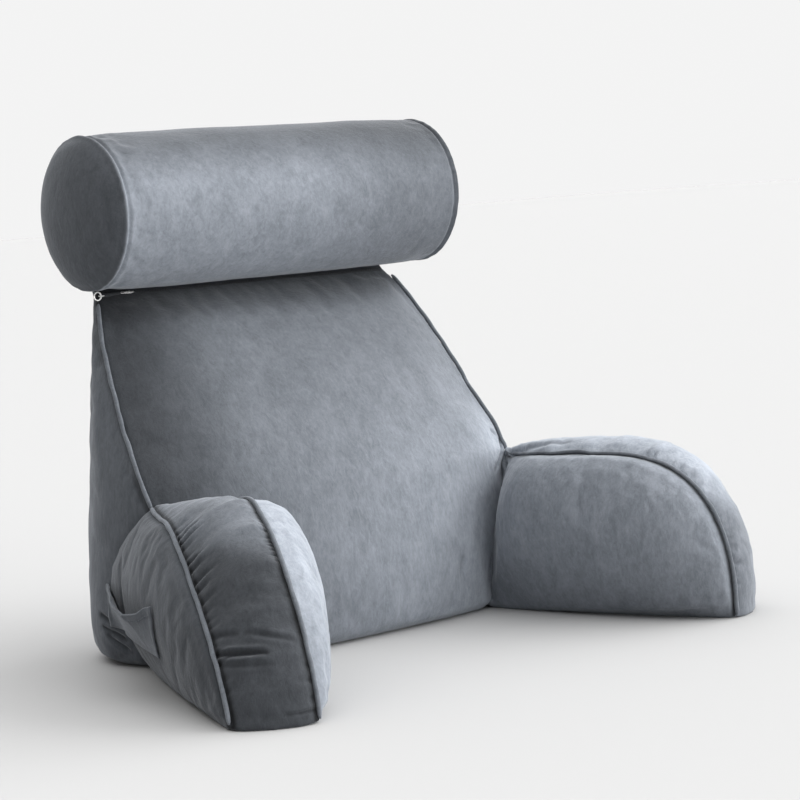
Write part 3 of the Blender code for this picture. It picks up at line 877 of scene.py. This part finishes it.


# painted light and shade per point, multiplying the plush colour: darker where shade falls, lighter
# where light falls
paintedShading = {
    "backEdge": 0.28,         # painted shade beside the left piping, where the back turns away from the light, rising over backReach
    "backFull": 0.84,
    "backReach": (0.010, 0.150),
    "backLow": 0.84,          # painted light added at the low right of the back, over lowRight and lowUp
    "lowRight": (-0.16, 0.14),
    "lowUp": (0.06, 0.34),
    "backJoin": 0.55,         # and painted light beside the right arm, where its shadow would fall, over joinReach
    "joinReach": 0.044,
    "shadowUnderRoll": (0.55, 0.335, 0.366),   # painted shadow up under the roll, and its heights, on the front only
    "topDepth": (0.186, 0.200),        # on the front only
    "backSide": 0.65,         # painted shade on the side panel, beyond the left piping
    # painted light and shade on an arm's panels, lighter towards the top: below, on top, and the
    # heights between
    "leftGusset": (0.47, 1.48, 0.132, 0.172),
    "leftInner": (1.06, 1.32, 0.040, 0.140),
    "leftOuter": (0.38, 0.60, 0.040, 0.130),
    "rightGusset": (0.84, 1.85, 0.085, 0.158),
    "rightInner": (0.92, 1.14, 0.015, 0.110),
    "rightOuter": (0.80, 1.00, 0.015, 0.110),
    "seamShadow": 0.90,         # painted shadow in the crease beside a piping, on the given side of it, its distance and width
    "seamAt": (0.0038, 0.0028),        # its distance and width
    "seamSides": {"inner_piping_left": 1, "outer_piping_left": -1, "inner_piping_right": -1},
}


def setPaintedShading(piece, values):
    layer = piece.data.attributes.new("paintedShading", "FLOAT", "POINT")
    layer.data.foreach_set("value", np.asarray(values, np.float32))


def paintedSeamShadows(places, side):
    # painted shadow: 1 away from the pipings, less in the crease on one side of them
    share = np.ones(len(places))
    away, width = paintedShading["seamAt"]
    for name, sign in paintedShading["seamSides"].items():
        if not name.endswith(side):
            continue
        offset, gaps, _ = acrossSeam(places, name)
        share *= 1 - paintedShading["seamShadow"] * bump(gaps - away, width) * (offset * sign > 0)
    return share


def paintedFoldShade(places):
    # painted shade: 1 on open cloth, less at the bottom of the deep folds
    share = np.ones(len(places))
    for *points, width, depth in folds.values():
        gaps = toLine(places, foldLine(points))[0]
        loss = min(foldShape["darkest"], depth / foldShape["darkDepth"])
        share *= 1 - loss * bump(gaps, width * 0.9)
    return share


def backPaintedShading(places):
    # painted light and shade on the backrest's front and side panel, darker in its folds
    line = seams["side_piping_left"]
    gaps, index = toLine(places, line)
    front = paintedShading["backEdge"] + (paintedShading["backFull"] - paintedShading["backEdge"]) * fade(gaps, *paintedShading["backReach"])
    lowUp = 1 - fade(places[:, 2], *paintedShading["lowUp"])
    front += paintedShading["backLow"] * fade(places[:, 0], *paintedShading["lowRight"]) * lowUp
    front += paintedShading["backJoin"] * bump(toLine(places, joins["right"][::3])[0], paintedShading["joinReach"])
    loss, low, high = paintedShading["shadowUnderRoll"]
    front *= 1 - loss * fade(places[:, 2], low, high) * (1 - fade(places[:, 1], *paintedShading["topDepth"]))
    beyond = fade(line[index, 0] - places[:, 0], -0.001, 0.001)
    return (front * (1 - beyond) + paintedShading["backSide"] * beyond) * paintedFoldShade(places)


def armPaintedShading(places, side):
    # painted light and shade on an arm, panel by panel, with painted shadows beside its pipings and
    # in its folds
    past = [fade(acrossSeam(places, name)[0], -0.0008, 0.0008) for name in armSeams(side)]
    values = []
    for name in panels:
        low, high, bottom, top = paintedShading[side + name]
        values.append(low + (high - low) * fade(places[:, 2], bottom, top))
    inner = values[0] * (1 - past[0])
    gusset = values[1] * past[0] * (1 - past[1])
    whole = inner + gusset + values[2] * past[0] * past[1]
    return whole * paintedSeamShadows(places, side) * paintedFoldShade(places)


def dressPanels(piece, side):
    # the inner panel, gusset and outer panel of an arm, told apart by its two seams
    mesh = piece.data
    middles = readAll(mesh.polygons, "center")
    past = [acrossSeam(middles, name)[0] > 0 for name in armSeams(side)]
    for name in panels:
        mesh.materials.append(panelCloth[side + name])
    mesh.polygons.foreach_set("material_index", past[0].astype(np.int32) + (past[0] & past[1]))


def trianglesOf(piece):
    return sum(len(p.vertices) - 2 for p in piece.data.polygons)


def makeStuffed(pieceName, nodeName):
    side = nodeName.rsplit("_", 1)[-1]
    isBack = nodeName == "backrest"
    edges = ["side_piping_left", "side_piping_right"] if isBack else armSeams(side)
    lines = [seams[name] for name in edges]
    piece = inflated(pieceName, nodeName, lines)
    rows = [row for row in puckers if row[0].endswith(side)]
    near = [(line[::2], stuffing["fineReach"]) for line in lines]
    near += [(join[::2], stuffing["fineReach"]) for other, join in joins.items()
             if other == side or isBack]
    near += [gatheredRun(row) for row in rows if row[4] > foldShape["strongFrom"]]
    creases = [(foldLine(points), stuffing["foldReach"]) for *points, _, _ in folds.values()]
    refine(piece, near + creases)
    subdivideNear(piece, [(line, reach * 0.6) for line, reach in creases])
    shapeCover(piece, lines, rows)
    if isBack:
        piece.data.materials.append(plushCloth)
        setPaintedShading(piece, backPaintedShading(placesOf(piece.data)))
    else:
        dressPanels(piece, side)
        setPaintedShading(piece, armPaintedShading(placesOf(piece.data), side))
    dressed(piece, nodeName, "plush")
    print(pieceName, "made:", trianglesOf(piece), "triangles")
    return piece


backPiece = makeStuffed("stuffedBack", "backrest")
leftArm = makeStuffed("leftArm", "arm_left")
rightArm = makeStuffed("rightArm", "arm_right")


# the neck roll

roll = {
    "voxel": 0.0050,
    "inset": 0.0006,
    "pressure": 2.5,
    "panelSlack": -0.002,
    "gussetSlack": -0.002,
    "frames": 12,
    "cap": 0.0030,
    "rimInset": 0.027,         # the rims' distance from the ends of the domed caps
    "rimRadius": 0.0800,
    "rimCrease": 0.0022,
    "rimLip": 0.0016,          # the sewn edge stands up beside the crease
    "capRadii": (0.055, 0.075),      # crease and lip fade in between these radii
    "gatherPitch": 0.0165,
    "gatherReach": 0.030,
    "gatherDepth": 0.0004,
    "paintedTopShade": 0.86,            # painted shade over the top
    "paintedEndShade": 0.36,            # and painted shade towards its right end
    # painted shade on the domed caps, and painted light over the whole roll
    "paintedCapShade": 0.37,
    "shade": 1.18,
    "hold": 0.006,             # the cover is held within this reach of a rim
    "fineReach": 0.008,
    "pinch": (0.0035, 0.35),   # reach and strength of the pull towards a rim
    "uneven": ((0.12, 6, 0.0014), (0.04, 7, 0.0004)),
}


def rimLines():
    angles = np.linspace(0, 2 * math.pi, 340)
    rims = []
    for rimX in (rollLow.x + roll["rimInset"], rollHigh.x - roll["rimInset"]):
        rims.append(np.stack([np.full(len(angles), rimX),
                              rollMiddle.y + roll["rimRadius"] * np.cos(angles),
                              rollMiddle.z + roll["rimRadius"] * np.sin(angles)], 1))
    return rims


def makeRoll():
    piece = remeshed("neckRoll", "neck_roll", roll["voxel"], 3)
    rims = rimLines()
    places = placesOf(piece.data)
    held = nearLines(places, rims, roll["hold"])
    applySwelling(piece, places, held, held * 0, roll)
    refine(piece, [(line, roll["fineReach"]) for line in rims])
    places = pinchTo(placesOf(piece.data), rims, *roll["pinch"])
    setPlaces(piece.data, places)
    normals = normalsOf(piece.data)
    rimAt = (rollHigh.x - rollLow.x) / 2 - roll["rimInset"]
    outside = np.abs(places[:, 0] - rollMiddle.x) - rimAt     # how far past the nearer rim
    back, up = places[:, 1] - rollMiddle.y, places[:, 2] - rollMiddle.z
    turn = np.arctan2(up, back)
    radius = np.hypot(up, back)
    atRim = fade(radius, *roll["capRadii"])
    height = -roll["rimCrease"] * bump(outside + 0.0012, 0.0022) * atRim
    height += roll["rimLip"] * bump(outside - 0.0030, 0.0026) * atRim
    swing = noiseField(places, 0.05, 4)
    waves = np.sin(turn * radius / roll["gatherPitch"] * 2 * math.pi + swing * 2.5)
    reach = fade(-outside, 0.002, 0.007) * (1 - fade(-outside, 0.008, roll["gatherReach"]))
    height += roll["gatherDepth"] * waves * reach * (0.55 + 0.8 * swing)
    height += unevenness(places, roll)
    setPlaces(piece.data, places + normals * height[:, None])
    # painted light and shade on the roll: lighter overall, darker over the top, towards its right end
    # and on its caps
    upness = (places[:, 2] - rollMiddle.z) / rollRadius
    shade = roll["shade"] - roll["paintedTopShade"] * fade(upness, 0.20, 1.0)
    shade *= 1 - roll["paintedEndShade"] * fade(places[:, 0], 0.0, 0.19)
    setPaintedShading(piece, shade + (roll["paintedCapShade"] - shade) * fade(outside, 0.0, 0.0030))
    dressed(piece, "neck_roll", "plush", rollCloth)
    return piece


rollPiece = makeRoll()
print("roll made:", trianglesOf(rollPiece), "triangles")


# pipings

piping = {
    "radius": 0.0022,
    "sides": 12,
    "step": 0.0020,
    "stand": 0.0020,          # how far its middle may stand off the cover
    "sway": 0.0007,           # its unevenness
    "wobble": 0.0003,         # and that of its radius
    "taper": (0.45, 0.75, 0.92),      # its last radii towards each end
}


def tubeAlong(name, line, radii, sides):
    bm = bmesh.new()
    rings = []
    ahead = np.gradient(line, axis=0)
    across = Vector((0.0, 0.0, 1.0)).cross(Vector(ahead[0]))
    for place, tangent, radius in zip(line, ahead, radii):
        tangent = Vector(tangent).normalized()
        across = (across - tangent * across.dot(tangent)).normalized()
        rings.append(ringOf(bm, Vector(place), across, tangent.cross(across), radius, sides))
    joinRings(bm, rings)
    return pieceFrom(name, bm, True)


def onSkin(line, skin):
    # the line drawn in to the skin wherever it stands off it, then smoothed
    line = line.copy()
    for k, place in enumerate(line):
        spot = np.array(skin.find_nearest(Vector(place))[0])
        gap = np.linalg.norm(place - spot)
        line[k] = spot + (place - spot) * min(1.0, piping["stand"] / max(gap, 1e-6))
    for _ in range(4):
        line[1:-1] = line[1:-1] * 0.5 + (line[:-2] + line[2:]) * 0.25
    return line


def intoCorner(name, line):
    # a side piping runs on to the top of its arm, and sinks in there
    side = name.rsplit("_", 1)[1]
    ends = [seams[seam][k] for seam in armSeams(side) for k in (0, -1)]
    if line[0][2] > line[-1][2]:
        line = line[::-1]
    corner = min(ends, key=lambda end: np.linalg.norm(end - line[0]))
    step = (corner - line[0]) / 4
    sunk = np.array((0.0, 0.002, -0.002))
    return np.vstack(([line[0] + step * 4 + sunk, line[0] + step * 2 + sunk * 0.4], line))


def makePipings():
    skins = {"backrest": skinOf(backPiece), "left": skinOf(leftArm), "right": skinOf(rightArm)}
    for name in sorted(seams):
        kind, _, side = name.split("_")
        line = seams[name][::4]
        if kind == "side":
            line = intoCorner(name, line)
        line = onSkin(smoothLine(line, piping["step"]), skins["backrest" if kind == "side" else side])
        sway = np.stack([noiseField(line, 0.020, seed) for seed in (11, 12, 13)], 1)
        line = line + sway * piping["sway"]
        radii = piping["radius"] + noiseField(line, 0.012, 5) * piping["wobble"]
        radii[:3] *= piping["taper"]
        radii[-3:] *= piping["taper"][::-1]
        piece = tubeAlong(kind + "Piping" + side.title(), line, radii, piping["sides"])
        dressed(piece, name, "piping", pipingCloth[kind])


makePipings()
print("pipings made")


# the patch pocket on the left arm

pocket = {
    "columns": 112,
    "rows": 40,
    "thickness": 0.0018,
    "clear": 0.0005,          # cloth to cloth, where it is sewn down
    "tautness": 120,          # rounds of smoothing that draw it over dips
    "hem": 0.0080,
    "hemRise": 0.0011,
    "edgePuff": 0.0010,       # roundness of the turned-under edges
    "gape": 0.0165,           # how far the mouth stands off the arm
    "ridgeAt": 0.76,          # a soft ridge down the open part
    "ridgeRise": 0.0030,
    "stitchLength": 0.0030,
    "stitchGap": 0.0013,
    "stitchRadius": 0.00036,
    "stitchDrop": 0.0012,     # the row's distance from the hem's lower edge
    # along a stitch: place, size and how far it sinks in
    "stitchShape": ((0.0, 0.5, 0.6), (0.2, 1.0, 0.0), (0.5, 1.1, -0.3), (0.8, 1.0, 0.0),
                    (1.0, 0.5, 0.6)),
    "flat": (0.212, 0.049),
}


def pocketOutline():
    # the pocket's ends, mouth and foot in its arm's own length and height, from the frame
    out = outward["left"]
    forward = np.array((out[1], -out[0], 0.0))
    forward *= -np.sign(forward[1])
    places = np.unique(placesOf(nodes["pocket"].data).round(5), axis=0)
    along = places @ forward
    stations = np.linspace(along.min() + 0.001, along.max() - 0.001, 17)
    reach = (along.max() - along.min()) / 24
    tops = [places[np.abs(along - s) < reach][:, 2].max() for s in stations]
    feet = [places[np.abs(along - s) < reach][:, 2].min() for s in stations]
    return forward, stations, tops, feet


def pocketSurface():
    # outer face of the pocket: taut over the cover, and open at its mouth
    out = Vector(outward["left"])
    forward, stations, tops, feet = pocketOutline()
    skin = skinOf(leftArm, backPiece)
    rows, columns = pocket["rows"], pocket["columns"]
    spots = np.zeros((rows, columns, 3))
    stand = np.zeros((rows, columns))
    for i, u in enumerate(np.linspace(0, 1, columns)):
        along = stations[0] + (stations[-1] - stations[0]) * u
        top, foot = (np.interp(along, stations, ends) for ends in (tops, feet))
        for j, v in enumerate(np.linspace(0, 1, rows)):
            start = Vector(forward * along) + Vector((0, 0, foot + (top - foot) * v)) + out * 0.6
            spots[j, i] = skin.ray_cast(start, -out)[0]
            stand[j, i] = pocket["gape"] * math.sin(math.pi * u ** 1.4) * v ** 1.6
    heights = spots @ np.array(out)
    level = heights.copy()
    for _ in range(pocket["tautness"]):
        level = np.maximum(eased(level), heights - 0.0004)
    spots += (level - heights + stand)[:, :, None] * np.array(out)
    return spots, stand


def eased(grid):
    # a grid of numbers smoothed along both of its directions, its corners kept
    grid = grid.copy()
    grid[:, 1:-1] = grid[:, 1:-1] * 0.5 + (grid[:, :-2] + grid[:, 2:]) * 0.25
    grid[1:-1] = grid[1:-1] * 0.8 + (grid[:-2] + grid[2:]) * 0.1
    return grid


def gridNormals(spots):
    across = np.gradient(spots, axis=1)
    upward = np.gradient(spots, axis=0)
    normals = np.cross(across, upward)
    normals /= np.linalg.norm(normals, axis=2, keepdims=True)
    return normals if normals.mean((0, 1)) @ outward["left"] > 0 else -normals


def runsOf(spots, axis):
    steps = np.linalg.norm(np.diff(spots, axis=axis), axis=2)
    run = np.cumsum(steps, axis=axis)
    return np.concatenate((np.zeros_like(run[:1] if axis == 0 else run[:, :1]), run), axis=axis)


def makePocket():
    spots, stand = pocketSurface()
    rows, columns = stand.shape
    upRun, sideRun = runsOf(spots, 0), runsOf(spots, 1)
    belowMouth = upRun[-1:] - upRun
    fromEdge = np.minimum(np.minimum(sideRun, sideRun[:, -1:] - sideRun), upRun)
    u = sideRun / sideRun[:, -1:]
    v = upRun / upRun[-1:]
    hem = 1 - fade(belowMouth, pocket["hem"] - 0.0008, pocket["hem"] + 0.0004)
    groove = bump(belowMouth - pocket["hem"] + pocket["stitchDrop"], 0.0009) * 0.0007
    ridge = np.exp(-np.abs(u - pocket["ridgeAt"] - 0.05 * (1 - v)) / 0.045) * v ** 0.7
    sag = noiseField(spots.reshape(-1, 3), 0.022, 9).reshape(rows, columns)
    lift = pocket["clear"] + pocket["thickness"] + hem * pocket["hemRise"] - groove
    lift = lift + pocket["edgePuff"] * bump(fromEdge - 0.0030, 0.0024)
    lift = lift + (ridge * pocket["ridgeRise"] + 0.0009 * sag) * fade(fromEdge, 0.002, 0.012)
    normals = gridNormals(spots)
    outer = spots + normals * lift[:, :, None]
    normals = gridNormals(outer)
    depth = pocket["thickness"] + hem * pocket["hemRise"] * 0.6
    depth = depth * fade(fromEdge, -0.0012, 0.0014)
    inner = outer - normals * depth[:, :, None]
    rimUp = (outer[-1] + inner[-1]) / 2 + np.array((0.0, 0.0, 0.0010))
    bm = bmesh.new()
    front = [[bm.verts.new(p) for p in row] for row in outer]
    back = [[bm.verts.new(p) for p in row] for row in inner]
    rim = [bm.verts.new(p) for p in rimUp]
    layers = (front, [front[-1], rim], [rim, back[-1]], back[::-1], [back[0], front[0]])
    for layer in layers:
        for low, high in zip(layer, layer[1:]):
            for k in range(columns - 1):
                bm.faces.new((low[k], low[k + 1], high[k + 1], high[k]))
    for k in (0, -1):
        for j in range(rows - 1):
            bm.faces.new((front[j][k], front[j + 1][k], back[j + 1][k], back[j][k]))
        bm.faces.new((front[-1][k], rim[k], back[-1][k]))
    bmesh.ops.recalc_face_normals(bm, faces=bm.faces)
    sewn = addStitches(bm, outer, normals, belowMouth)
    piece = dressed(pieceFrom("patchPocket", bm), "pocket", "plush", pocketCloth, threadCloth)
    width, height = sideRun[:, -1].mean(), upRun[-1].mean()
    print("pocket made:", trianglesOf(piece), "triangles,", round(width, 4), "by", round(height, 4),
          "m, stands off", round(stand.max(), 4), "m,", sewn, "stitches")
    return piece


def addStitches(bm, outer, normals, belowMouth):
    # a row of thread along the hem, each stitch a short bar with dipped ends
    columns = outer.shape[1]
    line, lifts = [], []
    for k in range(columns):
        j = np.abs(belowMouth[:, k] - pocket["hem"] + pocket["stitchDrop"]).argmin()
        line.append(outer[j, k])
        lifts.append(normals[j, k])
    line, lifts = np.array(line), np.array(lifts)
    run = runAlong(line)
    pitch = pocket["stitchLength"] + pocket["stitchGap"]
    starts = np.arange(0.004, run[-1] - 0.006, pitch)
    for start in starts:
        rings = []
        for step, size, sink in pocket["stitchShape"]:
            at = start + pocket["stitchLength"] * step
            place, lift = (Vector(pointsAt(at, run, field)) for field in (line, lifts))
            radius = pocket["stitchRadius"] * size
            place += lift * (pocket["stitchRadius"] * (0.55 - sink))
            side = Vector((0.0, 0.0, 1.0)).cross(lift).normalized().cross(lift).normalized()
            rings.append(ringOf(bm, place, lift, side, radius, 6))
        for face in joinRings(bm, rings):
            face.material_index = 1
    return len(starts)


makePocket()


# the zip: tape and teeth, slider, cloth pull, bail and ring

zipLook = {
    "toothPitch": 0.0016,
    "toothWidth": 0.0017,     # across the chain
    "tapeHeight": 0.35,       # share of the chain's thickness
    "chainSteps": 120,
    "endMargin": 0.003,       # bare tape at each end
    "ringSides": 14,
    "ringSteps": 64,
}


def axesOf(nodeName):
    # middle of a node and its own three directions, longest first, with their half lengths
    places = np.unique(placesOf(nodes[nodeName].data).round(6), axis=0)
    middle = (places.max(0) + places.min(0)) / 2
    axes = np.linalg.svd(places - places.mean(0), full_matrices=False)[2]
    halves = []
    for axis in axes:
        reach = (places - middle) @ axis
        middle = middle + axis * (reach.max() + reach.min()) / 2
        halves.append((reach.max() - reach.min()) / 2)
    if axes[2][2] < 0:
        axes[2] *= -1
    return middle, axes, halves


def loftBar(bm, middle, axes, sections):
    # an eight-sided bar through sections of (along, half width, half height, rise)
    corners = ((1, .55), (.75, 1), (-.75, 1), (-1, .55),
               (-1, -.55), (-.75, -1), (.75, -1), (1, -.55))
    rings = []
    for along, wide, high, rise in sections:
        spine = middle + axes[0] * along + axes[2] * rise
        rings.append([bm.verts.new(spine + axes[1] * wide * a + axes[2] * high * b)
                      for a, b in corners])
    joinRings(bm, rings)


def makeChain():
    middle, axes, (half, wide, high) = axesOf("zip_chain")
    tape = high * zipLook["tapeHeight"]
    bm = bmesh.new()
    loftBar(bm, middle, axes, [(x, wide * (1 + 0.03 * math.sin(x * 900)), tape, -high + tape)
                               for x in np.linspace(-half, half, zipLook["chainSteps"])])
    tapeFaces = len(bm.faces)
    pitch, width, margin = zipLook["toothPitch"], zipLook["toothWidth"], zipLook["endMargin"]
    reach, tall = pitch * 0.36, high - tape
    for k in range(int(2 * (half - margin) / pitch)):
        along = -half + margin + (k + 0.5) * pitch
        shift = (0.35 if k % 2 else -0.35) * width
        spot = middle + axes[1] * shift + axes[2] * (-high + 2 * tape + tall)
        loftBar(bm, spot, axes, [(along - reach, width * 0.40, tall * 0.7, 0.0),
                                 (along, width * 0.52, tall, 0.0),
                                 (along + reach, width * 0.40, tall * 0.7, 0.0)])
    for face in list(bm.faces)[tapeFaces:]:
        face.material_index = 1
    return dressed(pieceFrom("zipChain", bm, True), "zip_chain", "zip_tape", zipTape, zipCoil,
                   smooth=False)


def makeSlider():
    # two plates and the bridge between them, drawn in behind its shoulders
    middle, axes, (half, wide, high) = axesOf("zip_slider")
    bm = bmesh.new()
    sections = []
    for t in np.linspace(-1, 1, 25):
        shoulder = 0.78 + 0.22 * math.cos(t * 2.4 - 0.6) ** 2
        end = (1 - abs(t) ** 10) ** 0.5 * 0.7 + 0.3
        sections.append((half * t, wide * shoulder * end, high * 0.55 * end, -high * 0.42))
    loftBar(bm, middle, axes, sections)
    loop = []
    for t in np.linspace(-1, 1, 17):
        arch = (1 - t * t) ** 0.5
        loop.append((half * 0.62 * t, wide * 0.34, high * 0.26, -high * 0.1 + high * 0.72 * arch))
    loftBar(bm, middle, axes, loop)
    return dressed(pieceFrom("zipSlider", bm, True), "zip_slider", "zip_metal", zipMetal)


def makePull():
    # a folded tab of tape, flat in its middle and gathered at both ends
    middle, axes, (half, wide, high) = axesOf("zip_pull")
    bm = bmesh.new()
    sections = []
    for t in np.linspace(-1, 1, 33):
        waist = 1.0 - 0.22 * abs(t) ** 3
        rib = 1.0 + 0.08 * math.cos(t * 60)
        sections.append((half * t, wide * waist, high * rib * (0.80 + 0.15 * abs(t)), 0.0))
    loftBar(bm, middle, axes, sections)
    return dressed(pieceFrom("zipPull", bm, True), "zip_pull", "zip_tape", zipTape)


def makeRing(name, nodeName):
    # a loop of wire, pressed a little flat, with the nick where its ends meet
    middle, axes, (reach, _, wire) = axesOf(nodeName)
    radius = reach - wire
    bm = bmesh.new()
    rings = []
    for k in range(zipLook["ringSteps"]):
        turn = 2 * math.pi * k / zipLook["ringSteps"]
        spoke = axes[0] * math.cos(turn) + axes[1] * math.sin(turn)
        nick = 1 - 0.16 * math.exp(-((turn - 2.2) / 0.06) ** 2)
        rings.append(ringOf(bm, middle + spoke * radius, spoke * 0.96, axes[2], wire * nick,
                            zipLook["ringSides"]))
    joinRings(bm, rings, closed=True)
    return dressed(pieceFrom(name, bm, True), nodeName, "zip_metal", zipMetal)


zipPieces = [makeChain(), makeSlider(), makePull(), makeRing("zipBail", "zip_bail"),
             makeRing("zipRing", "zip_ring")]
print("zip made:", [(piece.name, trianglesOf(piece)) for piece in zipPieces])
